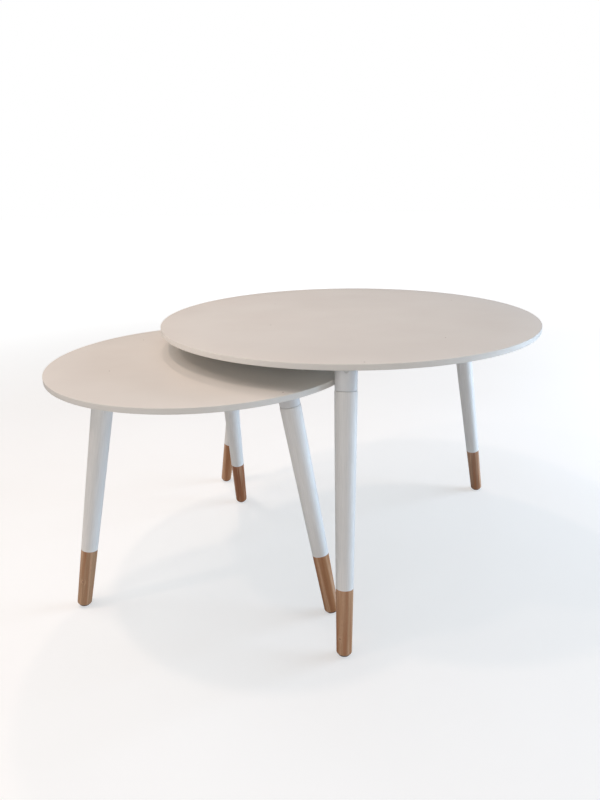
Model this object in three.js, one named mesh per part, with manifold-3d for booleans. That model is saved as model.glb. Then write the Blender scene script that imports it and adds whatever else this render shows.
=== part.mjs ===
// Nest of two round three-legged tables. The small table stands partly under the large one.
// Millimetres, +Z up. The assembly is centred over its own footprint with the floor at Z = 0.
import * as THREE from "three";
import { mergeVertices } from "three/addons/utils/BufferGeometryUtils.js";
import Module from "manifold-3d";

const wasm = await Module();
wasm.setup();

// ---- Driving dimensions ----------------------------------------------------------------

// Tops
const LARGE_TOP_RADIUS = 400;
const SMALL_TOP_RADIUS = 300;
const LARGE_HEIGHT = 537; // floor to the upper face of the large top
const NEST_GAP = 39.5; // underside of the large top to the upper face of the small top
const BOARD_THICKNESS = 10.5;
const BOARD_ARRIS = 0.8; // small chamfer along both edges of a top

// Where the legs stand
const LARGE_LEG_INSET = 83; // rim of the top to the leg's axis, measured at the underside
const SMALL_LEG_INSET = 107;
// Directions of the legs from the top's centre, degrees. The two back legs of the large table are
// a few degrees closer to each other than an even third.
const LARGE_LEGS = { front: -90, right: 31, left: 145 };
const SMALL_LEGS = { left: -149.4, right: -29.4, back: 90.6 };
const SPLAY = 12; // lean of every leg from the vertical, degrees

// How the small table is parked
const NEST_BEARING = -149; // direction of the small table's centre from the large one's, degrees
const RIM_TO_LEG = 1; // least air between the small top's rim and a leg of the large table

// Legs, measured along their own axis
const LEG_TOP_RADIUS = 20;
const LEG_FOOT_RADIUS = 14;
const LEG_TAPER_POWER = 1.15; // above 1 the taper starts slowly and quickens towards the foot
const LEG_FOOT_ROUND = 5; // radius of the rounded edge at the foot
const LEG_SHOULDER_ROUND = 0.8; // small rounding where the leg meets the socket

// Sockets between leg and board
const SOCKET_LENGTH = 57; // along the leg's axis, from the board to the leg
const SOCKET_TAPER = 0.6; // how much the radius drops from the board to the leg
const SOCKET_EDGE = 0.6; // chamfer at the lower end

// Screws that hold a socket to the board. Each starts in a pocket in the socket's side.
const SCREWS_PER_SOCKET = 3;
const SCREW_TILT = 45; // from the vertical, degrees
const SCREW_CIRCLE = 11; // radius at which the screws cross the board's underside
const SCREW_SEAT_DEPTH = 6; // seat of the head, below the board
const SCREW_SHANK_RADIUS = 1.75;
const SCREW_HEAD_RADIUS = 3.5;
const SCREW_HEAD_HEIGHT = 2.2;
const SCREW_CROWN_RADIUS = 2.5; // where the rounded head is flat on top
const SCREW_DRIVE_RADIUS = 1.2;
const SCREW_DRIVE_DEPTH = 1.1;
const BOARD_SKIN = 3.5; // board left above the point of a screw
const POCKET_RADIUS = 5.5;

// Hanger bolt and the insert nut that it turns in
const BOLT_RADIUS = 4;
const BOLT_IN_SOCKET = 20;
const BOLT_IN_LEG = 30;
const BOLT_POINT = 6; // length of the tapered wood-screw end
const BOLT_POINT_RADIUS = 1.5;
const INSERT_RADIUS = 6;
const INSERT_LENGTH = 18;

// Glide and nail under each foot
const GLIDE_RADIUS = 10;
const GLIDE_RIM = 1.5; // straight rim of the glide
const GLIDE_DOME = 3; // height of the dome below the rim
const GLIDE_FLAT = 0.4; // how deep the floor trims the dome
const NAIL_HEAD_RADIUS = 3;
const NAIL_HEAD_HEIGHT = 1.2;
const NAIL_RADIUS = 1;
const NAIL_LENGTH = 14;

// Clearances between neighbouring solids
const GAP = 0.3; // faces that meet
const BORE_GAP = 0.3; // a shank or a nut in its bore, on the radius

// Facets around each kind of round piece
const TOP_FACETS = 80;
const LEG_FACETS = 20;
const ROUND_FACETS = 12;
const SMALL_FACETS = 8;
const TAPER_STEPS = 5;
const ROUND_STEPS = 2;
const DOME_STEPS = 2;

// ---- Values that follow from them --------------------------------------------------------

const radians = THREE.MathUtils.degToRad;
const range = (count) => Array.from({ length: count }, (_, index) => index);

const splay = radians(SPLAY);
const screwTilt = radians(SCREW_TILT);
const smallHeight = LARGE_HEIGHT - BOARD_THICKNESS - NEST_GAP;
const largeLegCircle = LARGE_TOP_RADIUS - LARGE_LEG_INSET;
const smallLegCircle = SMALL_TOP_RADIUS - SMALL_LEG_INSET;
const socketEndRadius = LEG_TOP_RADIUS - SOCKET_TAPER;
const legStart = SOCKET_LENGTH + GAP;
const screwSeat = -SCREW_SEAT_DEPTH / Math.cos(screwTilt);
const screwPoint = (BOARD_THICKNESS - BOARD_SKIN) / Math.cos(screwTilt);
const domeRadius = (GLIDE_RADIUS ** 2 + GLIDE_DOME ** 2) / (2 * GLIDE_DOME);

// ---- Materials -----------------------------------------------------------------------------

const finish = (color, roughness, metalness) =>
  new THREE.MeshStandardMaterial({ color, roughness, metalness });
const FINISHES = {
  top: finish(0xe9e4de, 0.42, 0),
  leg: finish(0xe8e8e6, 0.5, 0),
  socket: finish(0xdedfe0, 0.22, 0),
  steel: finish(0xb9bcc0, 0.35, 1),
  brass: finish(0xc9a45c, 0.35, 1),
  glide: finish(0x26221f, 0.6, 0),
};

// ---- Solids --------------------------------------------------------------------------------

// A closed three.js geometry as a manifold-3d solid, after moving it by a matrix.
function solid(geometry, matrix = new THREE.Matrix4()) {
  const bare = geometry.clone();
  bare.deleteAttribute("normal");
  bare.deleteAttribute("uv");
  bare.applyMatrix4(matrix);
  const merged = mergeVertices(bare, 1e-4);
  return new wasm.Manifold(
    new wasm.Mesh({
      numProp: 3,
      vertProperties: new Float32Array(merged.getAttribute("position").array),
      triVerts: new Uint32Array(merged.index.array),
    }),
  );
}

// A manifold-3d solid as a flat-shaded three.js geometry.
function geometryOf(body) {
  const mesh = body.getMesh();
  const geometry = new THREE.BufferGeometry();
  geometry.setAttribute("position", new THREE.BufferAttribute(mesh.vertProperties, 3));
  geometry.setIndex(new THREE.BufferAttribute(mesh.triVerts, 1));
  const flat = geometry.toNonIndexed();
  flat.computeVertexNormals();
  return flat;
}

// A solid of revolution about Z from [radius, z] points that run from the lower axis point to
// the upper one. The lathe turns about Y, so the result is stood up.
function turned(profile, facets) {
  const points = profile.map(([radius, z]) => new THREE.Vector2(radius, z));
  return new THREE.LatheGeometry(points, facets).rotateX(Math.PI / 2);
}

// A plain round rod about Z.
function rod(radius, fromZ, toZ, facets) {
  return turned([[0, fromZ], [radius, fromZ], [radius, toZ], [0, toZ]], facets);
}

// Blocks much larger than any piece, with one face in the plane Z = level.
const BLOCK = 4 * LARGE_HEIGHT;

function blockAbove(level) {
  return new THREE.BoxGeometry(BLOCK, BLOCK, BLOCK).translate(0, 0, level + BLOCK / 2);
}

function blockBelow(level) {
  return new THREE.BoxGeometry(BLOCK, BLOCK, BLOCK).translate(0, 0, level - BLOCK / 2);
}

// ---- One leg, in its own frame ------------------------------------------------------------
// The origin is where the leg's axis meets the underside of the board. The axis runs down -Z,
// and the frame leans, so that +X points outwards and a little upwards.

// The frame of a leg in its table: turned to its bearing, moved out to its circle and leant.
function legFrame(bearing, circle, underside) {
  return new THREE.Matrix4()
    .makeRotationZ(bearing)
    .multiply(new THREE.Matrix4().makeTranslation(circle, 0, underside))
    .multiply(new THREE.Matrix4().makeRotationY(-splay));
}

// The frame of a socket screw in the leg's frame: origin on the board's underside, +Z along the
// screw towards its point. Undoing the splay first makes all three screws meet the board alike.
function screwFrame(index) {
  const around = (index * 2 * Math.PI) / SCREWS_PER_SOCKET;
  return new THREE.Matrix4()
    .makeRotationY(splay)
    .multiply(new THREE.Matrix4().makeRotationZ(around))
    .multiply(new THREE.Matrix4().makeTranslation(SCREW_CIRCLE, 0, 0))
    .multiply(new THREE.Matrix4().makeRotationY(-screwTilt));
}

// Radius of the turned leg at a distance down its axis.
function legRadius(distance, length) {
  const share = (distance - legStart) / (length - legStart);
  return LEG_TOP_RADIUS - (LEG_TOP_RADIUS - LEG_FOOT_RADIUS) * share ** LEG_TAPER_POWER;
}

// Distances down the axis of a leg for a board underside at the given height. The glide's dome
// just dips into the floor, which trims it flat.
function footOf(underside) {
  const domeCentre = (underside - domeRadius + GLIDE_FLAT) / Math.cos(splay);
  const domeBase = domeCentre + domeRadius - GLIDE_DOME;
  const glideTop = domeBase - GLIDE_RIM;
  return { domeCentre, domeBase, glideTop, woodEnd: glideTop - GAP };
}

function socketSolid() {
  const beyond = 2 * LEG_TOP_RADIUS;
  const outside = turned(
    [
      [0, -SOCKET_LENGTH],
      [socketEndRadius - SOCKET_EDGE, -SOCKET_LENGTH],
      [socketEndRadius, -SOCKET_LENGTH + SOCKET_EDGE],
      [LEG_TOP_RADIUS, 0],
      [LEG_TOP_RADIUS, beyond],
      [0, beyond],
    ],
    LEG_FACETS,
  );
  const below = -SOCKET_LENGTH - beyond;
  const insertEnd = -SOCKET_LENGTH + INSERT_LENGTH + GAP;
  const boltEnd = -SOCKET_LENGTH + BOLT_IN_SOCKET + GAP;
  const cuts = [
    solid(blockAbove(-GAP), new THREE.Matrix4().makeRotationY(splay)),
    solid(rod(INSERT_RADIUS + BORE_GAP, below, insertEnd, SMALL_FACETS)),
    solid(rod(BOLT_RADIUS + BORE_GAP, below, boltEnd, SMALL_FACETS)),
  ];
  const pocket = rod(POCKET_RADIUS, screwSeat - SOCKET_LENGTH, screwSeat, ROUND_FACETS);
  const clearance = rod(SCREW_SHANK_RADIUS + BORE_GAP, screwSeat - 1, beyond, SMALL_FACETS);
  for (const index of range(SCREWS_PER_SOCKET)) {
    cuts.push(solid(pocket, screwFrame(index)), solid(clearance, screwFrame(index)));
  }
  return cuts.reduce((body, cut) => body.subtract(cut), solid(outside));
}

function screwSolid() {
  const head = screwSeat - GAP;
  const crown = head - SCREW_HEAD_HEIGHT;
  const shape = turned(
    [
      [0, crown],
      [SCREW_CROWN_RADIUS, crown],
      [SCREW_HEAD_RADIUS, head - SCREW_HEAD_HEIGHT / 2],
      [SCREW_HEAD_RADIUS, head],
      [SCREW_SHANK_RADIUS, head],
      [SCREW_SHANK_RADIUS, screwPoint - 2 * SCREW_SHANK_RADIUS],
      [0, screwPoint],
    ],
    SMALL_FACETS,
  );
  const drive = rod(SCREW_DRIVE_RADIUS, crown - SCREW_DRIVE_DEPTH, crown + SCREW_DRIVE_DEPTH, 6);
  return solid(shape).subtract(solid(drive));
}

function insertSolid() {
  const top = -SOCKET_LENGTH + INSERT_LENGTH;
  const outside = solid(rod(INSERT_RADIUS, -SOCKET_LENGTH, top, SMALL_FACETS));
  const bore = rod(BOLT_RADIUS + BORE_GAP, -2 * SOCKET_LENGTH, 0, SMALL_FACETS);
  return outside.subtract(solid(bore));
}

function boltSolid() {
  const top = -SOCKET_LENGTH + BOLT_IN_SOCKET;
  const point = -legStart - BOLT_IN_LEG;
  return solid(
    turned(
      [
        [0, point],
        [BOLT_POINT_RADIUS, point],
        [BOLT_RADIUS, point + BOLT_POINT],
        [BOLT_RADIUS, top],
        [0, top],
      ],
      SMALL_FACETS,
    ),
  );
}

function legSolid(foot) {
  const length = foot.woodEnd;
  const roundStart = length - LEG_FOOT_ROUND;
  const shoulder = legStart + LEG_SHOULDER_ROUND;
  const taper = range(TAPER_STEPS + 1).map((step) => {
    const distance = roundStart + ((shoulder - roundStart) * step) / TAPER_STEPS;
    return [legRadius(distance, length), -distance];
  });
  const footRadius = legRadius(roundStart, length);
  const footRound = range(ROUND_STEPS).map((step) => {
    const angle = (Math.PI / 2) * (step / ROUND_STEPS);
    return [
      footRadius - LEG_FOOT_ROUND * (1 - Math.sin(angle)),
      -roundStart - LEG_FOOT_ROUND * Math.cos(angle),
    ];
  });
  const outline = [
    [0, -length],
    ...footRound,
    ...taper,
    [LEG_TOP_RADIUS - LEG_SHOULDER_ROUND, -legStart],
    [0, -legStart],
  ];
  const boltEnd = -legStart - BOLT_IN_LEG - GAP;
  const nailEnd = -length + NAIL_LENGTH + GAP;
  return solid(turned(outline, LEG_FACETS))
    .subtract(solid(rod(BOLT_RADIUS + BORE_GAP, boltEnd, 0, SMALL_FACETS)))
    .subtract(solid(rod(NAIL_RADIUS + BORE_GAP, -2 * length, nailEnd, SMALL_FACETS)));
}

// The dome meets the floor on its inner side, so the floor's plane, seen from the leg's own
// frame, trims it.
function glideSolid(foot, underside) {
  const dome = range(DOME_STEPS).map((step) => {
    const angle = Math.asin(GLIDE_RADIUS / domeRadius) * (step / DOME_STEPS);
    return [domeRadius * Math.sin(angle), -foot.domeCentre - domeRadius * Math.cos(angle)];
  });
  const outline = [
    ...dome,
    [GLIDE_RADIUS, -foot.domeBase],
    [GLIDE_RADIUS, -foot.glideTop],
    [0, -foot.glideTop],
  ];
  const floor = new THREE.Matrix4()
    .makeRotationY(splay)
    .multiply(new THREE.Matrix4().makeTranslation(0, 0, -underside));
  const recessEnd = -foot.glideTop - NAIL_HEAD_HEIGHT - GAP;
  return solid(turned(outline, ROUND_FACETS))
    .subtract(solid(blockBelow(0), floor))
    .subtract(solid(rod(NAIL_HEAD_RADIUS + BORE_GAP, recessEnd, 0, SMALL_FACETS)));
}

function nailSolid(foot) {
  const headTop = -foot.glideTop;
  const headBottom = headTop - NAIL_HEAD_HEIGHT;
  const point = -foot.woodEnd + NAIL_LENGTH;
  return solid(
    turned(
      [
        [0, headBottom],
        [NAIL_HEAD_RADIUS, headBottom],
        [NAIL_HEAD_RADIUS, headTop],
        [NAIL_RADIUS, headTop],
        [NAIL_RADIUS, point - 2 * NAIL_RADIUS],
        [0, point],
      ],
      SMALL_FACETS,
    ),
  );
}

// ---- One table -------------------------------------------------------------------------------

function topSolid(radius, height, legFrames) {
  const underside = height - BOARD_THICKNESS;
  const board = turned(
    [
      [0, underside],
      [radius - BOARD_ARRIS, underside],
      [radius, underside + BOARD_ARRIS],
      [radius, height - BOARD_ARRIS],
      [radius - BOARD_ARRIS, height],
      [0, height],
    ],
    TOP_FACETS,
  );
  const pilot = rod(SCREW_SHANK_RADIUS + BORE_GAP, screwSeat, screwPoint + GAP, SMALL_FACETS);
  const pilots = legFrames.flatMap((frame) =>
    range(SCREWS_PER_SOCKET).map((index) => solid(pilot, frame.clone().multiply(screwFrame(index)))),
  );
  return pilots.reduce((body, cut) => body.subtract(cut), solid(board));
}

function part(name, body, material, frame = new THREE.Matrix4()) {
  const mesh = new THREE.Mesh(geometryOf(body), material.clone());
  mesh.name = name;
  mesh.applyMatrix4(frame);
  return mesh;
}

function table(name, radius, height, legCircle, legs) {
  const group = new THREE.Group();
  const underside = height - BOARD_THICKNESS;
  const foot = footOf(underside);
  const legFrames = Object.values(legs).map((bearing) =>
    legFrame(radians(bearing), legCircle, underside),
  );
  group.add(part(`${name}_top`, topSolid(radius, height, legFrames), FINISHES.top));
  const pieces = [
    ["socket", socketSolid(), FINISHES.socket],
    ["insert_nut", insertSolid(), FINISHES.brass],
    ["hanger_bolt", boltSolid(), FINISHES.steel],
    ["leg", legSolid(foot), FINISHES.leg],
    ["glide", glideSolid(foot, underside), FINISHES.glide],
    ["glide_nail", nailSolid(foot), FINISHES.steel],
  ];
  const screw = screwSolid();
  Object.keys(legs).forEach((leg, number) => {
    const frame = legFrames[number];
    const place = `${name}_${leg}`;
    for (const [piece, body, material] of pieces) {
      group.add(part(`${place}_${piece}`, body, material, frame));
    }
    for (const index of range(SCREWS_PER_SOCKET)) {
      const at = frame.clone().multiply(screwFrame(index));
      group.add(part(`${place}_screw_${index + 1}`, screw, FINISHES.steel, at));
    }
  });
  return group;
}

// ---- The nest ----------------------------------------------------------------------------------

// How far the small table has to stand from the large table's centre for its rim to clear every
// large leg. Each leg is closest at the level of the small top's upper face.
function nestDistance(bearing) {
  const legReach = largeLegCircle + NEST_GAP * Math.tan(splay);
  const apart = SMALL_TOP_RADIUS + LEG_TOP_RADIUS / Math.cos(splay) + RIM_TO_LEG;
  const distances = Object.values(LARGE_LEGS).map((legBearing) => {
    const along = legReach * Math.cos(radians(legBearing) - bearing);
    const across = legReach * Math.sin(radians(legBearing) - bearing);
    return along > 0 && Math.abs(across) < apart ? along + Math.sqrt(apart ** 2 - across ** 2) : 0;
  });
  return Math.max(...distances);
}

const largeTable = table("large", LARGE_TOP_RADIUS, LARGE_HEIGHT, largeLegCircle, LARGE_LEGS);
const smallTable = table("small", SMALL_TOP_RADIUS, smallHeight, smallLegCircle, SMALL_LEGS);
const nestBearing = radians(NEST_BEARING);
const parked = nestDistance(nestBearing);
smallTable.position.set(parked * Math.cos(nestBearing), parked * Math.sin(nestBearing), 0);

const nest = new THREE.Group();
nest.add(largeTable, smallTable);
nest.updateMatrixWorld(true);
const footprint = new THREE.Box3().setFromObject(nest, true).getCenter(new THREE.Vector3());
nest.position.set(-footprint.x, -footprint.y, 0);

export default nest;
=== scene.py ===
"""Looks of a nest of two round three-legged tables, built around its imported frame.

Sizes that the frame knows are read from it. The fields below hold only what it doesn't: films of
paint, small roundings, threads, patterns and colours. Lengths are in metres.
"""
import logging
import math
from collections.abc import Callable
from dataclasses import dataclass, field
from enum import Enum
from typing import NamedTuple

import bmesh
import bpy
import numpy as np
from mathutils import Matrix, Vector


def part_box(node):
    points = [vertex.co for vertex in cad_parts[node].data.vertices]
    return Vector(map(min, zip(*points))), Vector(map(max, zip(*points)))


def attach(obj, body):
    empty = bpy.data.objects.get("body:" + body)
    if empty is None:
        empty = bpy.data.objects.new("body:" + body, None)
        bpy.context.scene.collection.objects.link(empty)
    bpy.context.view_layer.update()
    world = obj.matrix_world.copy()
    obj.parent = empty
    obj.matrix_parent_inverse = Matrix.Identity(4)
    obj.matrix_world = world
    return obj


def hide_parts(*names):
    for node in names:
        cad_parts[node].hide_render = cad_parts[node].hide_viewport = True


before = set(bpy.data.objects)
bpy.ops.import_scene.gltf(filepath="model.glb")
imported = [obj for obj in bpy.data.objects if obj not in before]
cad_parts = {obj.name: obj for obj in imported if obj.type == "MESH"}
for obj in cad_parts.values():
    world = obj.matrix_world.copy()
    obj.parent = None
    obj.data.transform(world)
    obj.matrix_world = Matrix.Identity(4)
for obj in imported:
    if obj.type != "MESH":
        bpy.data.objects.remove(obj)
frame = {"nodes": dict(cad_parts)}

MM = 0.001
AIR = 0.3 * MM  # round a shank, a nut or a head in its bore, and between faces that meet
NAIL_RADIUS = 1 * MM
SCREWS = (1, 2, 3)  # numbers of a socket's screws
CREASE = 34.0  # degrees above which an edge stays sharp
SHARE, FIRST, SECOND, MIXED = 0, 6, 7, 2  # sockets of a Mix node that mixes colours
WAVE_TURNS = 20 / (2 * math.pi)  # bands of a wave texture in one unit at scale 1
LOG = logging.getLogger("nest_of_tables")

Outline = list[tuple[float, float]]
Relief = Callable[[float, float, float], tuple[float, float]]
Colour = tuple[float, float, float, float]
Triple = tuple[float, float, float]
Output = bpy.types.NodeSocket
Tree = bpy.types.NodeTree


# ---- Colour and nodes ----


def linear(hex_colour: str) -> Colour:
    """Turns an sRGB hex colour into a linear one.

    Args:
        hex_colour: Six hex digits after a hash, such as "#E8E6E1".

    Returns:
        Linear red, green, blue and an alpha of 1.
    """
    channels = [int(hex_colour[at : at + 2], 16) / 255 for at in (1, 3, 5)]
    bent = [c / 12.92 if c <= 0.04045 else ((c + 0.055) / 1.055) ** 2.4 for c in channels]
    return (*bent, 1.0)


def add(tree: Tree, kind: str, out: str | int, inputs: dict, **settings: object) -> Output | None:
    """Adds a node to a tree, with its settings, its input values and its links.

    Args:
        tree: The node tree that the node joins.
        kind: The node's type without the "ShaderNode" in front.
        out: The output to hand back, or an empty string where the node has none.
        inputs: Value or output socket for each input, by the input's name or number.
        settings: The node's own properties. A ramp's stops give its colours by position.

    Returns:
        The asked output.
    """
    node = tree.nodes.new("ShaderNode" + kind)
    for position, colour in settings.pop("stops", {}).items():
        node.color_ramp.elements.new(position).color = colour
    if kind == "ValToRGB":
        node.color_ramp.elements.remove(node.color_ramp.elements[0])
        node.color_ramp.elements.remove(node.color_ramp.elements[-1])
    for key, value in settings.items():
        setattr(node, key, value)
    for key, value in inputs.items():
        if isinstance(value, bpy.types.NodeSocket):
            tree.links.new(value, node.inputs[key])
        else:
            node.inputs[key].default_value = value
    return node.outputs[out] if out != "" else None


# ---- Finishes ----


@dataclass(frozen=True)
class Layer:
    """One noise pattern of a finish, and what it does to the surface.

    Attributes:
        width: Width of one mark of the pattern.
        detail: Number of finer octaves in it.
        stretch: Scale along each axis. A number below 1 draws the marks out.
        low: Value of the pattern where its shade or sheen sets in.
        high: Value of the pattern where they are full.
        shade: Colour that it turns the finish to, or an empty string.
        sheen: What it adds to the roughness at the low and at the high value.
        depth: Depth of its relief.
        strength: Strength of the relief.
    """

    width: float
    detail: float = 2.0
    stretch: Triple = (1.0, 1.0, 1.0)
    low: float = 0.3
    high: float = 0.75
    shade: str = ""
    sheen: tuple[float, float] = (0.0, 0.0)
    depth: float = 0.0
    strength: float = 0.5


@dataclass(frozen=True)
class Finish:
    """One surface finish. A subclass adds what noise can't draw.

    Attributes:
        title: Name of the Blender material.
        slot: The record's material slot that it belongs to. Not used.
        colour: Main sRGB colour.
        roughness: Mean roughness of the surface.
        ior: Index of refraction, left at the default for a metal.
        metallic: 1 for a bare metal.
        layers: Noise patterns, from the deepest up.
    """

    title: str
    slot: str
    colour: str
    roughness: float
    ior: float = 1.5
    metallic: float = 0.0
    layers: tuple[Layer, ...] = ()

    def material(self) -> bpy.types.Material:
        """Returns the Blender material of this finish, made on first use."""
        made = bpy.data.materials.get(self.title)
        if made is None:
            made = bpy.data.materials.new(self.title)
            made.use_nodes = True
            tree = made.node_tree
            tree.nodes.clear()
            place = add(tree, "TexCoord", "Object", {})
            inputs = {
                "Base Color": linear(self.colour),
                "Roughness": self.roughness,
                "IOR": self.ior,
                "Metallic": self.metallic,
            }
            for layer in self.layers:
                self.lay(layer, tree, place, inputs)
            self.complete(tree, place, inputs)
            shader = add(tree, "BsdfPrincipled", "BSDF", inputs)
            add(tree, "OutputMaterial", "", {"Surface": shader})
        return made

    def lay(self, layer: Layer, tree: Tree, place: Output, inputs: dict) -> Output:
        """Adds one noise pattern.

        Args:
            layer: The pattern and what it does.
            tree: The material's node tree.
            place: Object coordinates in metres.
            inputs: What goes into the shader's inputs so far, by the input's name.

        Returns:
            The pattern's value.
        """
        along = add(tree, "Mapping", "Vector", {"Vector": place, "Scale": layer.stretch})
        marks = {"Vector": along, "Scale": 1 / layer.width, "Detail": layer.detail}
        value = add(tree, "TexNoise", "Fac", marks)
        if layer.shade:
            stops = {layer.low: linear(self.colour), layer.high: linear(layer.shade)}
            inputs["Base Color"] = add(tree, "ValToRGB", "Color", {"Fac": value}, stops=stops)
        if any(layer.sheen):
            ends = {"Value": value, "From Min": layer.low, "From Max": layer.high}
            ends["To Min"], ends["To Max"] = (self.roughness + more for more in layer.sheen)
            inputs["Roughness"] = add(tree, "MapRange", "Result", ends)
        if layer.depth:
            relief = {"Height": value, "Distance": layer.depth, "Strength": layer.strength}
            if "Normal" in inputs:
                relief["Normal"] = inputs["Normal"]
            inputs["Normal"] = add(tree, "Bump", "Normal", relief)
        return value

    def complete(self, tree: Tree, place: Output, inputs: dict) -> None:
        """Adds what a subclass draws itself, over the layers.

        Args:
            tree: The material's node tree.
            place: Object coordinates in metres.
            inputs: What goes into the shader's inputs so far, by the input's name.
        """


@dataclass(frozen=True)
class SprayedLacquer(Finish):
    """White satin polyurethane lacquer sprayed on a board: even, soft sheen, faint orange peel.

    Attributes:
        speck: Colour of the odd fleck of dust caught in the film.
        speck_cell: Mean distance between flecks.
        speck_size: Width of a fleck.
        speck_share: How far a fleck hides the lacquer.
    """

    layers: tuple[Layer, ...] = (
        # Greyer where the film is thinner
        Layer(130 * MM, 3.0, high=0.7, shade="#E5E1DB"),
        # Cloudy marks that wiping leaves in the sheen
        Layer(70 * MM, 5.0, (0.4, 1.0, 1.0), high=0.7, sheen=(-0.03, 0.04)),
        # Orange peel, drawn about twice as coarse as the real one
        Layer(2.6 * MM, 1.0, depth=0.05 * MM),
        # Fine cutter marks round the board's edge
        Layer(1.2 * MM, 3.0, (1.0, 1.0, 4.0), depth=0.02 * MM, strength=0.35),
    )
    speck: str = "#75685C"
    speck_cell: float = 300 * MM
    speck_size: float = 1.7 * MM
    speck_share: float = 0.8

    def complete(self, tree: Tree, place: Output, inputs: dict) -> None:
        """Adds the flecks."""
        cells = {"Vector": place, "Scale": 1 / self.speck_cell}
        near = add(tree, "TexVoronoi", "Distance", cells, voronoi_dimensions="2D")
        size = self.speck_size / self.speck_cell
        edge = {"Value": near, "From Min": size / 2, "From Max": size}
        edge |= {"To Min": self.speck_share, "To Max": 0.0}
        fleck = add(tree, "MapRange", "Result", edge)
        mix = {SHARE: fleck, FIRST: inputs["Base Color"], SECOND: linear(self.speck)}
        inputs["Base Color"] = add(tree, "Mix", MIXED, mix, data_type="RGBA")


@dataclass(frozen=True)
class SprayedEnamel(Finish):
    """White satin enamel on turned wood: the lathe's waves and the grain just show through.

    Attributes:
        wave: Distance between the shallow waves that the lathe left.
        wave_depth: Their depth under the paint.
    """

    layers: tuple[Layer, ...] = (
        # Wood fibres under the paint, drawn about three times too coarse
        Layer(
            0.9 * MM, 3.0, (1.0, 1.0, 0.022), high=0.8, shade="#E0E0DE", depth=0.03 * MM, strength=0.3
        ),
        # Marks that handling leaves in the sheen
        Layer(30 * MM, 4.0, high=0.7, sheen=(-0.02, 0.03)),
    )
    wave: float = 15 * MM
    wave_depth: float = 0.008 * MM

    def complete(self, tree: Tree, place: Output, inputs: dict) -> None:
        """Adds the lathe's waves."""
        turned = {"Vector": place, "Scale": 1 / (self.wave * WAVE_TURNS), "Distortion": 0.6}
        waves = add(tree, "TexWave", "Fac", turned, bands_direction="Z")
        cut = {"Height": waves, "Distance": self.wave_depth, "Strength": 0.1}
        cut["Normal"] = inputs["Normal"]
        inputs["Normal"] = add(tree, "Bump", "Normal", cut)


@dataclass(frozen=True)
class SealedBeech(Finish):
    """Turned beech, sanded and sealed clear: warm tan with long streaks and short ray flecks.

    Attributes:
        streak: Colour of the late wood.
        pale: Colour of the early wood.
        fleck: Colour of the ray flecks.
        heart: Colour at the heart of a knot.
        ring: Distance between growth rings across the leg.
        ray: Width of a ray fleck, drawn about twice as coarse as the real one.
        seed: Moves the grain, so that no two legs are alike.
        knots: Centres of the knots in the leg's own frame.
        knot_size: Radius of a knot.
        bend: How far the grain swings round a knot.
    """

    streak: str = "#A8714C"
    pale: str = "#CFA788"
    fleck: str = "#8E5E42"
    heart: str = "#5E3826"
    ring: float = 5.5 * MM
    ray: float = 0.5 * MM
    seed: float = 0.0
    knots: tuple[Triple, ...] = ()
    knot_size: float = 2 * MM
    bend: float = 2.5 * MM

    def complete(self, tree: Tree, place: Output, inputs: dict) -> None:
        """Adds streaks, ray flecks, and knots with the grain bent round them."""
        shift = (self.seed, self.seed, self.seed)
        own = add(tree, "Mapping", "Vector", {"Vector": place, "Location": shift})
        hearts = []
        for knot in self.knots:
            far = add(tree, "VectorMath", "Value", {0: place, 1: knot}, operation="DISTANCE")
            near = {"Value": far, "From Max": self.knot_size * 5, "To Min": self.bend, "To Max": 0.0}
            push = add(tree, "MapRange", "Result", near, interpolation_type="SMOOTHSTEP")
            aside = add(tree, "CombineXYZ", "Vector", {"X": push, "Y": push})
            own = add(tree, "VectorMath", "Vector", {0: own, 1: aside}, operation="ADD")
            size = {"Value": far, "From Min": self.knot_size * 0.3, "From Max": self.knot_size}
            hearts.append(add(tree, "MapRange", "Result", size | {"To Min": 0.85, "To Max": 0.0}))
        fine = Layer(self.ray, stretch=(1.0, 1.0, 0.09), depth=0.06 * MM)
        rays = self.lay(fine, tree, own, inputs)
        coarse = Layer(self.ring, 3.0, (1.0, 0.6, 0.026), 0.3, 0.7, "", (-0.05, 0.08), 0.05 * MM, 0.3)
        rings = self.lay(coarse, tree, own, inputs)
        stops = {0.34: linear(self.pale), 0.5: linear(self.colour), 0.7: linear(self.streak)}
        wood = add(tree, "ValToRGB", "Color", {"Fac": rings}, stops=stops)
        dark = {"Value": rays, "From Min": 0.56, "From Max": 0.76, "To Max": 0.6}
        marks = [(add(tree, "MapRange", "Result", dark), self.fleck)]
        marks += [(heart, self.heart) for heart in hearts]
        for share, colour in marks:
            mix = {SHARE: share, FIRST: wood, SECOND: linear(colour)}
            wood = add(tree, "Mix", MIXED, mix, data_type="RGBA")
        inputs["Base Color"] = wood


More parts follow.
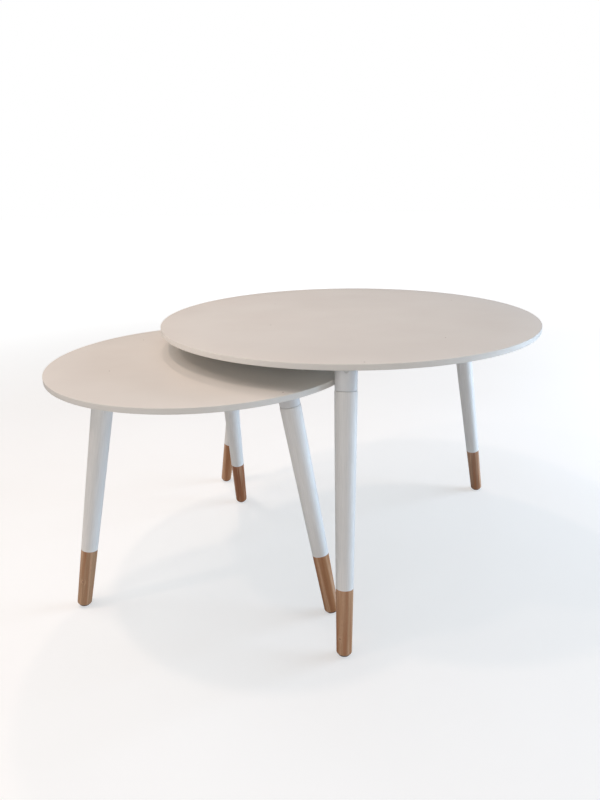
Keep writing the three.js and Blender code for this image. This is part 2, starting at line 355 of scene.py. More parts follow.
@dataclass(frozen=True)
class PaintedFloor(Finish):
    """Smooth grey studio floor. Only the camera sees its glow, so it looks pale and doesn't light
    the undersides. The glow grows towards the far edge, as on a lit sweep.

    Attributes:
        glow: Strength of the glow near the tables.
        near: Distance from the tables where the glow starts to grow.
        far: Distance where the floor is paper white.
    """

    layers: tuple[Layer, ...] = (
        # Faint clouds, and the paint roller's texture
        Layer(500 * MM, 3.0, shade="#BCBBB9"),
        Layer(4 * MM, depth=0.05 * MM, strength=0.2),
    )
    glow: float = 0.5
    near: float = 0.9
    far: float = 4.5

    def complete(self, tree: Tree, place: Output, inputs: dict) -> None:
        """Adds the glow."""
        out = add(tree, "VectorMath", "Value", {0: place}, operation="LENGTH")
        rise = {"Value": out, "From Min": self.near, "From Max": self.far, "To Min": self.glow}
        glow = add(tree, "MapRange", "Result", rise, interpolation_type="SMOOTHSTEP")
        seen = add(tree, "LightPath", "Is Camera Ray", {})
        inputs["Emission Color"] = linear("#FFFFFF")
        inputs["Emission Strength"] = add(tree, "Math", 0, {0: glow, 1: seen}, operation="MULTIPLY")


# Lines that drawing and machining leave along a piece of metal
DRAWN = Layer(
    0.25 * MM, 2.0, (1.0, 1.0, 0.08), high=0.7, sheen=(-0.06, 0.12), depth=0.01 * MM, strength=0.3
)


class Finishes(Enum):
    """The finishes that every table of the nest shares."""

    LACQUER = SprayedLacquer(
        "white_sprayed_polyurethane_lacquer", "white_lacquered_board", "#E9E6E0", 0.38
    )
    ENAMEL = SprayedEnamel("white_sprayed_alkyd_enamel", "painted_beech", "#F0EFED", 0.3)
    # Rolled on the underside of a board: matt, a little grey, thin in long patches, stippled.
    PRIMER = Finish(
        "white_rolled_primer", "white_lacquered_board", "#DEDAD3", 0.75,
        layers=(
            Layer(60 * MM, 5.0, (0.3, 1.0, 1.0), shade="#CFCAC2"),
            Layer(1.8 * MM, depth=0.08 * MM),
        ),
    )
    # From a polished mould: glassy, with faint flow lines, hairline scuffs, and slow waves where
    # the plastic shrank.
    ABS = Finish(
        "white_moulded_abs", "white_socket", "#E2E3E4", 0.1, 1.54,
        layers=(
            Layer(22 * MM, 3.0, shade="#D9DBDD"),
            Layer(0.8 * MM, 3.0, (1.0, 0.16, 0.11), low=0.5, sheen=(0.0, 0.12)),
            Layer(14 * MM, 1.0, depth=0.15 * MM, strength=0.35),
        ),
    )
    # From an etched mould: dull, greyed where it rubs, with pebbles about twice as coarse as real.
    NYLON = Finish(
        "dark_moulded_nylon", "dark_plastic", "#2B2826", 0.55, 1.53,
        layers=(
            Layer(5 * MM, 4.0, low=0.45, shade="#5D5853"),
            Layer(0.7 * MM, 1.0, depth=0.06 * MM, strength=0.6),
        ),
    )
    # Plated and machined metal: bright, clouded by handling.
    ZINC = Finish(
        "zinc_plated_steel", "zinc_plated_steel", "#C9CBCF", 0.3,
        metallic=1.0,
        layers=(Layer(3.5 * MM, 4.0, shade="#9DA0A6"), DRAWN),
    )
    BRASS = Finish(
        "machined_brass", "brass", "#C7A560", 0.28,
        metallic=1.0,
        layers=(Layer(3.5 * MM, 4.0, shade="#8F7440"), DRAWN),
    )


# ---- Meshes ----


def arc(centre: tuple[float, float], radius: float, start: float, end: float, steps: int) -> Outline:
    """Points of a circular arc in an outline.

    Args:
        centre: Radius and height of the arc's centre.
        radius: Radius of the arc.
        start: First angle in degrees, 0 outwards and 90 up.
        end: Last angle in degrees.
        steps: Number of straight pieces.

    Returns:
        The arc's points, both ends included.
    """
    turns = (math.radians(start + (end - start) * step / steps) for step in range(steps + 1))
    return [(centre[0] + radius * math.cos(a), centre[1] + radius * math.sin(a)) for a in turns]


def lathe(outline: Outline, segments: int, relief: Relief | None = None) -> bmesh.types.BMesh:
    """Turns a closed outline about Z.

    Args:
        outline: Radius and height of each corner round the section. A radius of zero is a point
            on the axis.
        segments: Number of facets round the axis.
        relief: Moves a corner in or out and up or down, from its angle, radius and height.

    Returns:
        The turned solid.
    """
    made = bmesh.new()
    rings = []
    for radius, height in outline:
        if radius == 0:
            rings.append([made.verts.new((0, 0, height))])
            continue
        ring = []
        for step in range(segments):
            angle = 2 * math.pi * step / segments
            r, z = relief(angle, radius, height) if relief else (radius, height)
            ring.append(made.verts.new((r * math.cos(angle), r * math.sin(angle), z)))
        rings.append(ring)
    for lower, upper in zip(rings, rings[1:] + rings[:1]):
        if len(lower) == 1 and len(upper) == 1:
            continue
        for step in range(segments):
            after = (step + 1) % segments
            corners = [lower[step % len(lower)], lower[after % len(lower)]]
            corners += [upper[after % len(upper)], upper[step % len(upper)]]
            made.faces.new(list(dict.fromkeys(corners)))
    bmesh.ops.recalc_face_normals(made, faces=made.faces)
    return made


def cut_level(made: bmesh.types.BMesh, point: Vector, outwards: Vector) -> None:
    """Cuts a solid with a plane and closes the cut.

    Args:
        made: The solid.
        point: A point on the plane.
        outwards: The plane's normal, on the side that goes.
    """
    geometry = made.verts[:] + made.edges[:] + made.faces[:]
    plane = {"plane_co": point, "plane_no": outwards, "clear_outer": True}
    cut = bmesh.ops.bisect_plane(made, geom=geometry, **plane)
    loop = [item for item in cut["geom_cut"] if isinstance(item, bmesh.types.BMEdge)]
    bmesh.ops.contextual_create(made, geom=loop)
    bmesh.ops.recalc_face_normals(made, faces=made.faces)


def mesh_of(made: bmesh.types.BMesh, name: str, crease: float = CREASE) -> bpy.types.Mesh:
    """Makes a mesh that is smooth up to a crease angle.

    Args:
        made: The bmesh, which is freed.
        name: Name of the mesh.
        crease: Angle in degrees above which an edge stays sharp.

    Returns:
        The mesh.
    """
    mesh = bpy.data.meshes.new(name)
    made.to_mesh(mesh)
    made.free()
    mesh.shade_smooth()
    mesh.set_sharp_from_angle(angle=math.radians(crease))
    return mesh


def put(name: str, mesh: bpy.types.Mesh, at: Matrix, finish: Finish, body: str, node: str) -> None:
    """Puts a piece in the scene, on its body and in the place of its CAD node.

    Args:
        name: Name of the piece.
        mesh: Its mesh, in its own frame.
        at: Its own frame, in the row frame.
        finish: Its finish. A mesh that has materials already keeps them.
        body: The CAD body that it rides on.
        node: The CAD node that it stands for.
    """
    if not mesh.materials:
        mesh.materials.append(finish.material())
    piece = bpy.data.objects.new(name, mesh)
    bpy.context.scene.collection.objects.link(piece)
    piece.matrix_world = at
    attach(piece, body)
    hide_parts(node)
    LOG.info("%s: %d faces, rides on %s", name, len(mesh.polygons), body)


# ---- Where the frame says things are ----


def middle_of(node: str) -> Vector:
    """Returns the middle of a CAD node's box, on the floor."""
    low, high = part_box(node)
    return Vector(((low.x + high.x) / 2, (low.y + high.y) / 2, 0.0))


def node_points(node: str) -> np.ndarray:
    """Returns the corners of a CAD node, one row each."""
    return np.array([vertex.co for vertex in frame["nodes"][node].data.vertices])


def local_points(node: str, matrix: Matrix) -> np.ndarray:
    """Returns the corners of a CAD node in a local frame, one row each."""
    turn = np.array(matrix.inverted().to_3x3())
    return (node_points(node) - np.array(matrix.translation)) @ turn.T


def long_axis(node: str, outward: Vector) -> Matrix:
    """Finds the frame of a slender turned piece.

    Args:
        node: CAD node whose longest direction is its axis.
        outward: A direction on the side that local X should point to.

    Returns:
        A frame with its origin on the axis, Z up along it and X across it.
    """
    points = node_points(node)
    middle = points.mean(axis=0)
    along = Vector(np.linalg.svd(points - middle, full_matrices=False)[2][0])
    if along.z < 0:
        along.negate()
    across = (outward - outward.dot(along) * along).normalized()
    turn = Matrix((across, along.cross(across), along)).transposed()
    return Matrix.Translation(middle) @ turn.to_4x4()


@dataclass(frozen=True)
class LegFrame:
    """Where one leg stands. Local Z runs up the leg and X outwards, from the board's underside.

    Attributes:
        prefix: Start of the names of the leg's CAD nodes.
        matrix: The local frame in the row frame.
    """

    prefix: str
    matrix: Matrix

    @classmethod
    def of(cls, prefix: str, top: str) -> "LegFrame":
        """Finds a leg's frame from its CAD nodes.

        Args:
            prefix: Start of the names of the leg's CAD nodes.
            top: CAD node of the board that the leg holds up.

        Returns:
            The leg's frame.
        """
        outward = Vector(node_points(prefix + "_glide").mean(axis=0)) - middle_of(top)
        outward.z = 0
        matrix = long_axis(prefix + "_leg", outward.normalized())
        up = matrix.col[2].to_3d()
        matrix.translation += up * ((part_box(top)[0].z - matrix.translation.z) / up.z)
        return cls(prefix, matrix)

    def node(self, piece: str) -> str:
        """Returns the CAD node name of one of the leg's pieces."""
        return f"{self.prefix}_{piece}"

    def span(self, piece: str) -> tuple[float, float]:
        """Returns the lowest and highest height of a CAD node along the leg's axis."""
        heights = local_points(self.node(piece), self.matrix)[:, 2]
        return float(heights.min()), float(heights.max())

    def reach(self, piece: str) -> float:
        """Returns the largest radius of a CAD node about the leg's axis."""
        return float(np.hypot(*local_points(self.node(piece), self.matrix)[:, :2].T).max())

    def level(self) -> Vector:
        """Returns the direction straight up in the leg's own frame."""
        return self.matrix.inverted().to_3x3() @ Vector((0, 0, 1))


@dataclass(frozen=True)
class ScrewFrame:
    """Where one socket screw is: local Z points from its head to its point.

    Attributes:
        node: The screw's CAD node.
        matrix: The local frame in the row frame, its origin under the head.
        length: From under the head to the point.
        head_height: Height of the head.
        head_radius: Radius of the head.
    """

    node: str
    matrix: Matrix
    length: float
    head_height: float
    head_radius: float

    @classmethod
    def of(cls, leg: LegFrame, number: int) -> "ScrewFrame":
        """Finds a screw's frame from its CAD node.

        Args:
            leg: The leg that the screw belongs to.
            number: The screw's number on its socket.

        Returns:
            The screw's frame.
        """
        node = leg.node(f"screw_{number}")
        matrix = long_axis(node, Vector((1, 0, 0)))
        points = local_points(node, matrix)
        wide = np.hypot(points[:, 0], points[:, 1])
        seat = float(points[wide > 0.9 * wide.max(), 2].max())
        low, high = float(points[:, 2].min()), float(points[:, 2].max())
        at = matrix @ Matrix.Translation((0, 0, seat))
        return cls(node, at, high - seat, seat - low, float(wide.max()))


# ---- Tops ----


@dataclass
class RoundTop:
    """A round lacquered board with a straight edge and barely rounded arrises.

    Attributes:
        table: Name of the table, which starts the names of its nodes.
        arris: Radius of the rounding along both edges.
        segments: Facets round the rim.
        rings: Concentric rings that carry each flat face.
    """

    table: str
    arris: float = 0.9 * MM
    segments: int = 320
    rings: int = 6

    def build(self) -> bpy.types.Mesh:
        """Builds the board about its own centre, the underside in its own finish.

        Returns:
            The board's mesh.
        """
        low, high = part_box(f"{self.table}_top")
        inner = (high.x - low.x) / 2 - self.arris
        shares = [index / self.rings for index in range(self.rings)]
        outline = [(inner * share, low.z) for share in shares]
        outline += arc((inner, low.z + self.arris), self.arris, -90, 0, 5)
        outline += arc((inner, high.z - self.arris), self.arris, 0, 90, 5)
        outline += [(inner * share, high.z) for share in reversed(shares)]
        mesh = mesh_of(lathe(outline, self.segments), f"{self.table}_board")
        mesh.materials.append(Finishes.LACQUER.value.material())
        mesh.materials.append(Finishes.PRIMER.value.material())
        for face in mesh.polygons:
            face.material_index = int(face.normal.z < -0.99)
        return mesh

    def dress(self, body: str) -> None:
        """Puts the board in place of its CAD node.

        Args:
            body: The CAD body that the board rides on.
        """
        node = f"{self.table}_top"
        at = Matrix.Translation(middle_of(node))
        put(f"{self.table}_round_top", self.build(), at, Finishes.LACQUER.value, body, node)


# ---- Legs ----


@dataclass(frozen=True)
class TimberWithPaintedShade:
    """What is particular to one leg: its knots, and a tip colour that has painted shade in it.

    Attributes:
        colour: Main sRGB colour. It is the beech's own tone, darkened as painted shade on the legs that
            stand further back.
        knots: Bearing in degrees about the leg, and height above the foot, of each knot.
    """

    colour: str
    knots: tuple[tuple[float, float], ...] = ()


# Tip colours: partly each leg's own beech tone and partly painted shade. The legs further back
# (large_right, large_left, small_back) are darker because they stand in shade.
TIMBERS_WITH_PAINTED_SHADE = {
    "large_front": TimberWithPaintedShade("#B68E6D", ((-32.0, 33 * MM),)),
    "large_right": TimberWithPaintedShade("#A57F66"),
    "large_left": TimberWithPaintedShade("#A5744F"),
    "small_left": TimberWithPaintedShade("#AE8B6C", ((52.0, 56 * MM),)),
    "small_right": TimberWithPaintedShade("#B08059"),
    "small_back": TimberWithPaintedShade("#935E3F"),
}


@dataclass
class TurnedLeg:
    """A turned beech leg with its upper part in white enamel.

    Attributes:
        frame: Where the leg stands.
        timber_with_painted_shade: Its knots, and its tip colour with painted shade in it.
        bare_length: Length of the unpainted tip, from the foot.
        film: Thickness of the enamel.
        bead: How far the enamel's lower edge stands proud, where it ran against the mask.
        overspray: How far the enamel reaches in over the leg's upper end.
        taper_power: Above 1 the taper starts slowly and quickens towards the foot.
        foot_radius: Radius that the taper reaches at the foot.
        foot_round: Radius of the rounded edge of the foot.
        shoulder_round: Radius of the rounding under the socket.
        steps: Rings along the taper.
        segments: Facets round the leg.
    """

    frame: LegFrame
    timber_with_painted_shade: TimberWithPaintedShade
    bare_length: float = 124 * MM
    film: float = 0.3 * MM
    bead: float = 0.3 * MM
    overspray: float = 5 * MM
    taper_power: float = 1.15
    foot_radius: float = 14 * MM
    foot_round: float = 5 * MM
    shoulder_round: float = 0.8 * MM
    steps: int = 24
    segments: int = 72
    start: float = field(init=False)
    end: float = field(init=False)
    top_radius: float = field(init=False)

    def __post_init__(self) -> None:
        """Reads the leg's ends and its upper radius from the frame."""
        self.end, self.start = self.frame.span("leg")
        self.top_radius = self.frame.reach("leg")

    def radius(self, height: float) -> float:
        """Returns the finished radius at a height along the leg."""
        share = (self.start - height) / (self.start - self.end)
        return self.top_radius - (self.top_radius - self.foot_radius) * share**self.taper_power

    def stations(self, low: float, high: float) -> Outline:
        """Returns evenly spaced finished radii and heights from low to high."""
        heights = [low + (high - low) * step / self.steps for step in range(self.steps + 1)]
        return [(self.radius(height), height) for height in heights]

    def core(self) -> bpy.types.Mesh:
        """Builds the beech, which the enamel covers down to the bare tip.

        Returns:
            The beech's mesh.
        """
        line = self.end + self.bare_length
        rise = self.end + self.foot_round
        nail_end = self.frame.span("glide_nail")[1] + AIR
        nail_hole = NAIL_RADIUS + AIR
        outline = [(0, nail_end), (nail_hole, nail_end), (nail_hole, self.end)]
        outline += arc((self.radius(rise) - self.foot_round, rise), self.foot_round, -90, 0, 10)
        outline += self.stations(rise, line)[1:]
        shoulder = self.start - self.shoulder_round
        outline += [(r - self.film, z) for r, z in self.stations(line, shoulder)]
        bolt_end = self.frame.span("hanger_bolt")[0] - AIR
        bolt_hole = self.frame.reach("hanger_bolt") + AIR
        top = self.start - self.film
        outline += [(self.top_radius - self.shoulder_round, top)]
        outline += [(bolt_hole, top), (bolt_hole, bolt_end), (0, bolt_end)]
        return mesh_of(lathe(outline, self.segments), f"{self.frame.prefix}_beech")

    def enamel(self) -> bpy.types.Mesh:
        """Builds the film of enamel, a thin sleeve with a beaded lower edge.

        Returns:
            The film's mesh.
        """
        line = self.end + self.bare_length
        shoulder = self.start - self.shoulder_round
        foot = self.radius(line)
        # How far out and up each corner of the bead is, in beads
        shape = ((0.5, 0.0), (1.0, 0.6), (1.0, 1.6), (0.4, 3.0), (0.0, 6.0))
        outline = [(foot - self.film, line)]
        outline += [(foot + out * self.bead, line + up * self.bead) for out, up in shape]
        outline += self.stations(line + 8 * self.bead, shoulder)
        corner = (self.top_radius - self.shoulder_round, shoulder)
        outline += arc(corner, self.shoulder_round, 0, 90, 4)[1:]
        inner = corner[0] - self.overspray
        outline += [(inner, self.start), (inner, self.start - self.film)]
        outline += [(corner[0], self.start - self.film)]
        outline += [(r - self.film, z) for r, z in reversed(self.stations(line, shoulder)[1:])]
        return mesh_of(lathe(outline, self.segments), f"{self.frame.prefix}_enamel")

    def beech(self) -> SealedBeech:
        """Returns this leg's beech, in its tip colour with the painted shade."""
        knots = []
        for bearing, height in self.timber_with_painted_shade.knots:
            radius = self.radius(self.end + height)
            angle = math.radians(bearing)
            knots.append((radius * math.cos(angle), radius * math.sin(angle), self.end + height))
        seed = 0.37 * (1 + list(TIMBERS_WITH_PAINTED_SHADE).index(self.frame.prefix))
        title = f"clear_sealed_turned_beech_{self.frame.prefix}"
        return SealedBeech(
            title, "bare_beech", self.timber_with_painted_shade.colour, 0.5, seed=seed, knots=tuple(knots)
        )



# ---- Sockets and what is in them ----


@dataclass
class Socket:
    """The moulded socket between a leg and the board, with a pocket for each screw.

    Attributes:
        frame: Where the socket's leg stands.
        edge: Rounding of the lower end.
        fillet: Rounding of the pockets' mouths and the upper rim.
        taper: How much the radius drops from the board to the leg.
        pocket_radius: Radius of a screw's pocket.
        shank_radius: Radius of a screw's shank.
        reach: How far a pocket's cutter reaches out past the socket.
        hole: How far a screw's hole is cut past the seat of its head.
        bevel_angle: Degrees above which an edge is rounded.
        segments: Facets round the socket.
    """

    frame: LegFrame
    edge: float = 0.6 * MM
    fillet: float = 0.35 * MM
    taper: float = 0.6 * MM
    pocket_radius: float = 5.5 * MM
    shank_radius: float = 1.75 * MM
    reach: float = 60 * MM
    hole: float = 30 * MM
    bevel_angle: float = 40.0
    segments: int = 96

    def blank(self) -> bmesh.types.BMesh:
        """Turns the outside and the two bores, cut level with the board.

        Returns:
            The turned blank.
        """
        end = self.frame.span("socket")[0]
        top = self.frame.reach("socket")
        wide = self.frame.reach("insert_nut") + AIR
        narrow = self.frame.reach("hanger_bolt") + AIR
        insert_end = self.frame.span("insert_nut")[1] + AIR
        bolt_end = self.frame.span("hanger_bolt")[1] + AIR
        low = top - self.taper
        outline = [(wide, end)]
        outline += arc((low - self.edge, end + self.edge), self.edge, -90, 0, 4)
        outline += [(low + self.taper * share / 8, end * (1 - share / 8)) for share in range(1, 9)]
        outline += [(top, top), (0, top), (0, bolt_end), (narrow, bolt_end)]
        outline += [(narrow, insert_end), (wide, insert_end)]
        made = lathe(outline, self.segments)
        level = self.frame.level()
        cut_level(made, -AIR * level, level)
        return made

    def pocket(self) -> bpy.types.Mesh:
        """Builds the cutter for a pocket and its hole, in the screw's frame.

        Returns:
            The cutter's mesh.
        """
        wide, narrow = self.pocket_radius, self.shank_radius + AIR
        outline = [(0, -self.reach), (wide, -self.reach), (wide, AIR), (narrow, AIR)]
        outline += [(narrow, self.hole), (0, self.hole)]
        return mesh_of(lathe(outline, 48), "pocket_cutter")

    def build(self) -> bpy.types.Mesh:
        """Cuts the pockets and screw holes and rounds their edges.

        Returns:
            The socket's mesh.
        """
        shape = bpy.data.objects.new("socket_blank", mesh_of(self.blank(), "socket_blank"))
        spares = [shape]
        for number in SCREWS:
            cutter = bpy.data.objects.new("pocket_cutter", self.pocket())
            cutter.matrix_world = self.frame.matrix.inverted() @ ScrewFrame.of(self.frame, number).matrix
            cut = shape.modifiers.new("pocket", "BOOLEAN")
            cut.operation = "DIFFERENCE"
            cut.solver = "EXACT"
            cut.object = cutter
            spares.append(cutter)
        soften = shape.modifiers.new("fillet", "BEVEL")
        soften.width = self.fillet
        soften.segments = 2
        soften.limit_method = "ANGLE"
        soften.angle_limit = math.radians(self.bevel_angle)
        for spare in spares:
            bpy.context.scene.collection.objects.link(spare)
        bpy.context.view_layer.update()
        evaluated = shape.evaluated_get(bpy.context.evaluated_depsgraph_get())
        mesh = bpy.data.meshes.new_from_object(evaluated)
        mesh.name = "moulded_socket"
        mesh.materials.clear()
        mesh.shade_smooth()
        mesh.set_sharp_from_angle(angle=math.radians(CREASE))
        for spare in spares:
            bpy.data.objects.remove(spare)
        return mesh


@dataclass
class PanScrew:
    """A pan-head chipboard screw with a cross recess and a real thread.

    Attributes:
        frame: Where the screw is.
        core: Radius at the thread's root.
        crest: Radius at the thread's crest.
        pitch: Distance between threads.
        cross_width: Width of one arm of the recess.
        cross_reach: Length of one arm from the middle.
        cross_depth: Depth of the recess.
    """

    frame: ScrewFrame
    core: float = 1.15 * MM
    crest: float = 1.75 * MM
    pitch: float = 1.6 * MM
    cross_width: float = 0.8 * MM
    cross_reach: float = 2.0 * MM
    cross_depth: float = 1.1 * MM

    def relief(self, angle: float, radius: float, height: float) -> tuple[float, float]:
        """Sinks the cross and winds the thread.

        Args:
            angle: Angle about the axis.
            radius: Radius before the relief.
            height: Height before the relief.

        Returns:
            Radius and height after it.
        """
        if height < 0:
            x, y = abs(radius * math.cos(angle)), abs(radius * math.sin(angle))
            arm = min(x, y) < self.cross_width / 2 and max(x, y) < self.cross_reach
            crown = height < -0.5 * self.frame.head_height
            return radius, height + (self.cross_depth if arm and crown else 0.0)
        if height < self.pitch:
            return radius, height
        phase = (height / self.pitch - angle / (2 * math.pi)) % 1.0
        ridge = max(0.0, 1.0 - abs(phase - 0.5) / 0.3)
        tip = min(1.0, (self.frame.length - height) / (2 * self.pitch))
        return (self.core + (self.crest - self.core) * ridge) * max(tip, 0.08), height

    def build(self) -> bpy.types.Mesh:
        """Builds the screw in its own frame.

        Returns:
            The screw's mesh.
        """
        tall, wide = self.frame.head_height, self.frame.head_radius
        # A nearly flat crown, with rings enough for the cross, then the rounded rim
        outline = [(0, -tall)]
        outline += [(wide * 0.09 * ring, -tall * (1 - 0.0006 * ring**2)) for ring in range(1, 10)]
        outline += [(wide * 0.93, -tall * 0.82), (wide, -tall * 0.55), (wide, -0.15 * MM)]
        outline += [(wide - 0.15 * MM, 0.0), (self.crest, 0.0)]
        rows = int(self.frame.length / (self.pitch / 5))
        outline += [(self.crest, self.frame.length * row / rows) for row in range(1, rows)]
        outline += [(0, self.frame.length)]
        return mesh_of(lathe(outline, 32, self.relief), "pan_screw", 40)


@dataclass
class HangerBolt:
    """A double-ended bolt, with a machine thread above and a wood thread below.

    Attributes:
        frame: Where the bolt's leg stands.
        machine_pitch: Pitch of the upper thread.
        wood_pitch: Pitch of the lower thread.
        plain: Length of the plain waist between the threads.
        point: Length of the tapered point.
        depth: Depth of the threads.
    """

    frame: LegFrame
    machine_pitch: float = 1.25 * MM
    wood_pitch: float = 3.0 * MM
    plain: float = 4 * MM
    point: float = 6 * MM
    depth: float = 0.6 * MM

    def build(self) -> bpy.types.Mesh:
        """Builds the bolt in its leg's frame.

        Returns:
            The bolt's mesh.
        """
        low, high = self.frame.span("hanger_bolt")
        joint = self.frame.span("leg")[1]
        wide = self.frame.reach("hanger_bolt")

        def relief(angle: float, radius: float, height: float) -> tuple[float, float]:
            """Cuts the thread that belongs at a height."""
            if abs(height - joint) < self.plain / 2:
                return radius, height
            pitch, sharp = (self.machine_pitch, 2) if height > joint else (self.wood_pitch, 4)
            phase = (height / pitch - angle / (2 * math.pi)) % 1.0
            groove = min(1.0, abs(phase - 0.5) * sharp)
            return radius - self.depth * groove * radius / wide, height

        rows = int((high - low) / (self.machine_pitch / 4))
        heights = [low + (high - low) * row / rows for row in range(rows + 1)]
        radii = [wide * min(1.0, 0.35 + 0.65 * (z - low) / self.point) for z in heights]
        outline = [(0, low), *zip(radii, heights), (0, high)]
        return mesh_of(lathe(outline, 24, relief), "hanger_bolt", 40)


@dataclass
class InsertNut:
    """A brass insert nut with two knurled bands.

    Attributes:
        frame: Where the nut's leg stands.
        teeth: Number of knurls round the nut.
        depth: Depth of the knurling.
        lead: Height over which the knurls lean by one radian.
    """

    frame: LegFrame
    teeth: int = 24
    depth: float = 0.3 * MM
    lead: float = 0.6 * MM

    def build(self) -> bpy.types.Mesh:
        """Builds the nut in its leg's frame.

        Returns:
            The nut's mesh.
        """
        low, high = self.frame.span("insert_nut")
        wide = self.frame.reach("insert_nut")
        hole = self.frame.reach("hanger_bolt") + AIR
        band = (high - low) / 3

        def relief(angle: float, radius: float, height: float) -> tuple[float, float]:
            """Cuts the knurls, which lean one way in each band."""
            if radius < wide:
                return radius, height
            twist = 1 if height < (low + high) / 2 else -1
            wave = math.cos(self.teeth * angle + twist * height / self.lead)
            return radius - self.depth * (0.5 - 0.5 * wave), height

        root = wide - self.depth
        outline = [(hole, low), (root, low)]
        for start in (low + 0.4 * MM, high - 1.2 * band):
            outline += [(root, start)]
            outline += [(wide, start + band * step / 8) for step in range(1, 9)]
            outline += [(root, start + band * 9 / 8)]
        outline += [(root, high), (hole, high)]
        return mesh_of(lathe(outline, 96, relief), "insert_nut", 30)


@dataclass
class Glide:
    """A nail-on glide: a dark domed disc under the foot, and the nail that holds it.

    Attributes:
        frame: Where the glide's leg stands.
        rim: Height of the straight rim.
        rim_round: Rounding of the rim's upper edge.
        dome: Height of the dome under the rim, before the floor flattens it.
        head_radius: Radius of the nail's head.
        head_height: Height of the nail's head.
        edge: Rounding of the nail's head.
    """

    frame: LegFrame
    rim: float = 1.5 * MM
    rim_round: float = 0.4 * MM
    dome: float = 3 * MM
    head_radius: float = 3 * MM
    head_height: float = 1.2 * MM
    edge: float = 0.3 * MM

    def disc(self) -> bpy.types.Mesh:
        """Builds the disc, upright and flattened where it meets the floor.

        Returns:
            The disc's mesh.
        """
        top = self.frame.span("glide")[1]
        wide = self.frame.reach("glide")
        ball = (wide**2 + self.dome**2) / (2 * self.dome)
        centre = (0, top - self.rim + ball - self.dome)
        limit = math.degrees(math.asin(wide / ball))
        recess = self.head_radius + AIR
        seat = top - self.head_height - AIR
        outline = [(0, centre[1] - ball)]
        outline += arc(centre, ball, -90, -90 + limit, 12)[1:]
        outline += arc((wide - self.rim_round, top - self.rim_round), self.rim_round, 0, 90, 4)
        outline += [(recess, top), (recess, seat), (0, seat)]
        made = lathe(outline, 64)
        bmesh.ops.transform(made, matrix=self.frame.matrix.to_3x3(), verts=made.verts)
        floor = Vector((0, 0, -self.frame.matrix.translation.z))
        cut_level(made, floor, Vector((0, 0, -1)))
        return mesh_of(made, f"{self.frame.prefix}_glide_disc", 40)

    def nail(self) -> bpy.types.Mesh:
        """Builds the nail in its leg's frame.

        Returns:
            The nail's mesh.
        """
        low, high = self.frame.span("glide_nail")
        head = low + self.head_height
        rim, neck = self.head_radius - self.edge, NAIL_RADIUS + self.edge
        outline = [(0, low)]
        outline += arc((rim, low + self.edge), self.edge, -90, 0, 3)
        outline += arc((rim, head - self.edge), self.edge, 0, 90, 3)
        outline += arc((neck, head + self.edge), self.edge, -90, -180, 3)
        outline += [(NAIL_RADIUS, high - 2.6 * NAIL_RADIUS), (0, high)]
        return mesh_of(lathe(outline, 32), f"{self.frame.prefix}_nail", 40)


class Fixings(NamedTuple):
    """The pieces that are alike on every leg, so each mesh is built once."""

    socket: bpy.types.Mesh
    bolt: bpy.types.Mesh
    insert: bpy.types.Mesh
    screw: bpy.types.Mesh


@dataclass
class Table:
    """One table: its top, and three legs with their sockets, fixings and glides.

    Attributes:
        name: Name of the table, which starts the names of its nodes.
        legs: Names of its legs.
    """

    name: str
    legs: tuple[str, ...]

    def leg_frames(self) -> list[LegFrame]:
        """Returns where each leg stands."""
        return [LegFrame.of(f"{self.name}_{leg}", f"{self.name}_top") for leg in self.legs]

    def dress(self, leg: LegFrame, fixings: Fixings, body: str) -> None:
        """Puts every piece of a leg in place of its CAD node.

        Args:
            leg: Where the leg stands.
            fixings: The meshes that all legs share.
            body: The CAD body that the leg rides on.
        """
        turned, glide = TurnedLeg(leg, TIMBERS_WITH_PAINTED_SHADE[leg.prefix]), Glide(leg)
        at, upright = leg.matrix, Matrix.Translation(leg.matrix.translation)
        zinc = Finishes.ZINC.value
        rows = (
            ("leg_beech", turned.core(), at, turned.beech(), "leg"),
            ("leg_enamel", turned.enamel(), at, Finishes.ENAMEL.value, "leg"),
            ("glide_disc", glide.disc(), upright, Finishes.NYLON.value, "glide"),
            ("glide_pin", glide.nail(), at, zinc, "glide_nail"),
            ("moulded_socket", fixings.socket, at, Finishes.ABS.value, "socket"),
            ("threaded_bolt", fixings.bolt, at, zinc, "hanger_bolt"),
            ("knurled_insert", fixings.insert, at, Finishes.BRASS.value, "insert_nut"),
        )
        for piece, mesh, place, finish, node in rows:
            put(f"{leg.prefix}_{piece}", mesh, place, finish, body, leg.node(node))
        for number in SCREWS:
            screw = ScrewFrame.of(leg, number)
            put(screw.node + "_pan_head", fixings.screw, screw.matrix, zinc, body, screw.node)

    def build(self, fixings: Fixings) -> None:
        """Builds and places the top and every leg.

        Args:
            fixings: The meshes that all legs share.
        """
        body = f"{self.name}_table"
        RoundTop(self.name).dress(body)
        for leg in self.leg_frames():
            self.dress(leg, fixings, body)


# ---- Studio ----


@dataclass(frozen=True)
class Lamp:
    """One rectangular studio light. The small ones are ceiling lamps with crisp shadows.

    Attributes:
        title: Name of the light.
        at: Where it is, from the point on the floor under the large top's middle.
        colour: sRGB colour of its light.
        power: Its watts.
        size: Width and height.
        aim: Height above the floor that it points at.
        mirrored: Whether glossy surfaces mirror it.
    """

    title: str
    at: tuple[float, float, float]
    colour: str
    power: float
    size: tuple[float, float] = (0.11, 0.11)
    aim: float = 0.45
    mirrored: bool = True

    def hang(self, middle: Vector) -> None:
        """Puts the light in the scene.

        Args:
            middle: Middle of the large top, on the floor.
        """
        lamp = bpy.data.lights.new(self.title, "AREA")
        lamp.energy = self.power
        lamp.color = linear(self.colour)[:3]
        lamp.shape = "RECTANGLE"
        lamp.size, lamp.size_y = self.size
        holder = bpy.data.objects.new(self.title, lamp)
        holder.visible_glossy = self.mirrored
        holder.location = middle + Vector(self.at)
        away = Vector(self.at) - Vector((0, 0, self.aim))
        holder.rotation_euler = away.to_track_quat("Z", "Y").to_euler()
        bpy.context.scene.collection.objects.link(holder)


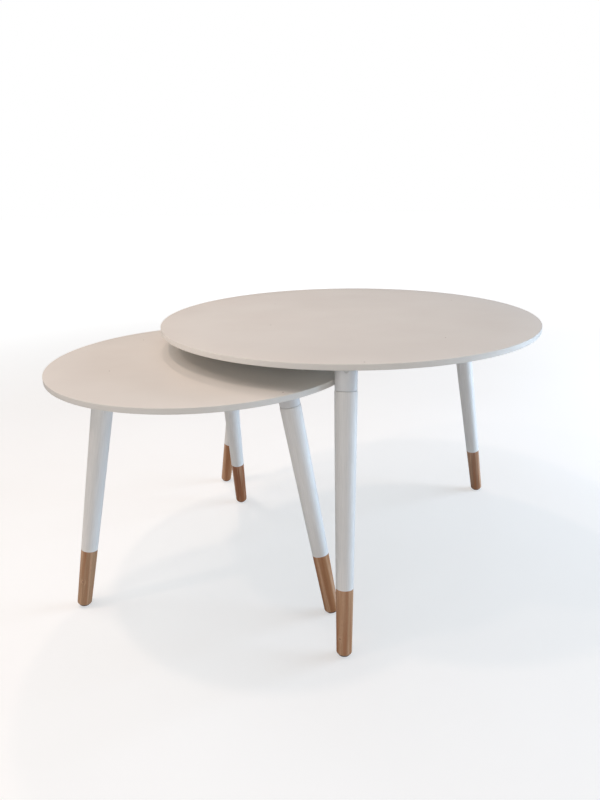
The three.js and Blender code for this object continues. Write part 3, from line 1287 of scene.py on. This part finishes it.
@dataclass
class Studio:
    """The floor, the lights and the camera.

    Attributes:
        distance: How far in front of the large top's middle the camera stands.
        eye: Height of the camera.
        yaw: Degrees that the camera turns to the left.
        pitch: Degrees that it looks down.
        roll: Degrees that it leans to the right.
        lens: Focal length over the usual 36 mm.
        lamps: The lights.
    """

    distance: float = 1.2645
    eye: float = 0.7799
    yaw: float = 4.82
    pitch: float = 19.19
    roll: float = 1.18
    lens: float = 25.97
    lamps: tuple[Lamp, ...] = (
        Lamp("ceiling", (0.0, 0.0, 2.6), "#FFF6F6", 7.5, (3.0, 3.0)),
        Lamp("bounce", (-1.8, 0.2, 2.3), "#FFF8F2", 14.5, (1.4, 1.4)),
        Lamp("window", (2.55, 0.4, 0.75), "#D2E8FF", 84.0, (1.6, 1.6), mirrored=False),
        Lamp("front", (-0.4, -2.8, 0.95), "#FFF9F6", 25.0, (4.5, 1.8)),
        Lamp("strip", (-1.7, -1.6, 0.9), "#FFF9F2", 2.6, (0.22, 1.2)),
        Lamp("back_spot", (-0.66, 0.98, 2.5), "#FFE2CF", 8.2),
        Lamp("left_spot", (-0.88, -0.25, 2.5), "#FFE2CF", 8.2),
        Lamp("low_spot", (-1.85, -0.85, 2.5), "#FFE2CF", 8.0),
    )

    def camera(self) -> None:
        """Sets up the camera."""
        made = bpy.data.cameras.new("camera")
        made.lens = self.lens
        made.clip_start = 0.01
        holder = bpy.data.objects.new("camera", made)
        eye = Matrix.Translation(middle_of("large_top") + Vector((0, -self.distance, self.eye)))
        turn = Matrix.Rotation(math.radians(self.yaw), 4, "Z")
        level = Matrix.Rotation(math.radians(90 - self.pitch), 4, "X")
        lean = Matrix.Rotation(-math.radians(self.roll), 4, "Z")
        holder.matrix_world = eye @ turn @ level @ lean
        bpy.context.scene.collection.objects.link(holder)
        bpy.context.scene.camera = holder

    def floor(self) -> None:
        """Lays a wide pale floor under the feet."""
        made = bmesh.new()
        bmesh.ops.create_grid(made, x_segments=12, y_segments=12, size=30.0)
        mesh = mesh_of(made, "floor")
        mesh.materials.append(PaintedFloor("pale_painted_floor", "", "#C0C0BF", 0.7).material())
        laid = bpy.data.objects.new("floor", mesh)
        laid.location.z = -0.05 * MM
        bpy.context.scene.collection.objects.link(laid)

    def world(self) -> None:
        """Sets an even ambient light, with plain white behind the object."""
        sky = bpy.data.worlds.new("studio")
        sky.use_nodes = True
        tree = sky.node_tree
        tree.nodes.clear()
        room = add(tree, "Background", 0, {"Color": linear("#F6FBFF"), "Strength": 0.21})
        paper = add(tree, "Background", 0, {"Color": linear("#FFFFFF"), "Strength": 1.0})
        seen = add(tree, "LightPath", "Is Camera Ray", {})
        mixed = add(tree, "MixShader", 0, {0: seen, 1: room, 2: paper})
        add(tree, "OutputWorld", "", {"Surface": mixed})
        bpy.context.scene.world = sky

    def build(self) -> None:
        """Builds the whole studio."""
        self.camera()
        self.floor()
        self.world()
        for lamp in self.lamps:
            lamp.hang(middle_of("large_top"))
        bpy.context.scene.view_settings.view_transform = "Standard"
        LOG.info("studio: camera, floor and %d lights are in place", len(self.lamps))


def main() -> None:
    """Builds the studio and both tables in order."""
    logging.basicConfig(level=logging.INFO, format="%(name)s: %(message)s")
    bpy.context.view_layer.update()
    Studio().build()
    tables = (
        Table("large", ("front", "right", "left")),
        Table("small", ("left", "right", "back")),
    )
    leg = tables[0].leg_frames()[0]
    screw = PanScrew(ScrewFrame.of(leg, SCREWS[0])).build()
    fixings = Fixings(Socket(leg).build(), HangerBolt(leg).build(), InsertNut(leg).build(), screw)
    for table in tables:
        table.build(fixings)


if __name__ == "__main__":
    main()
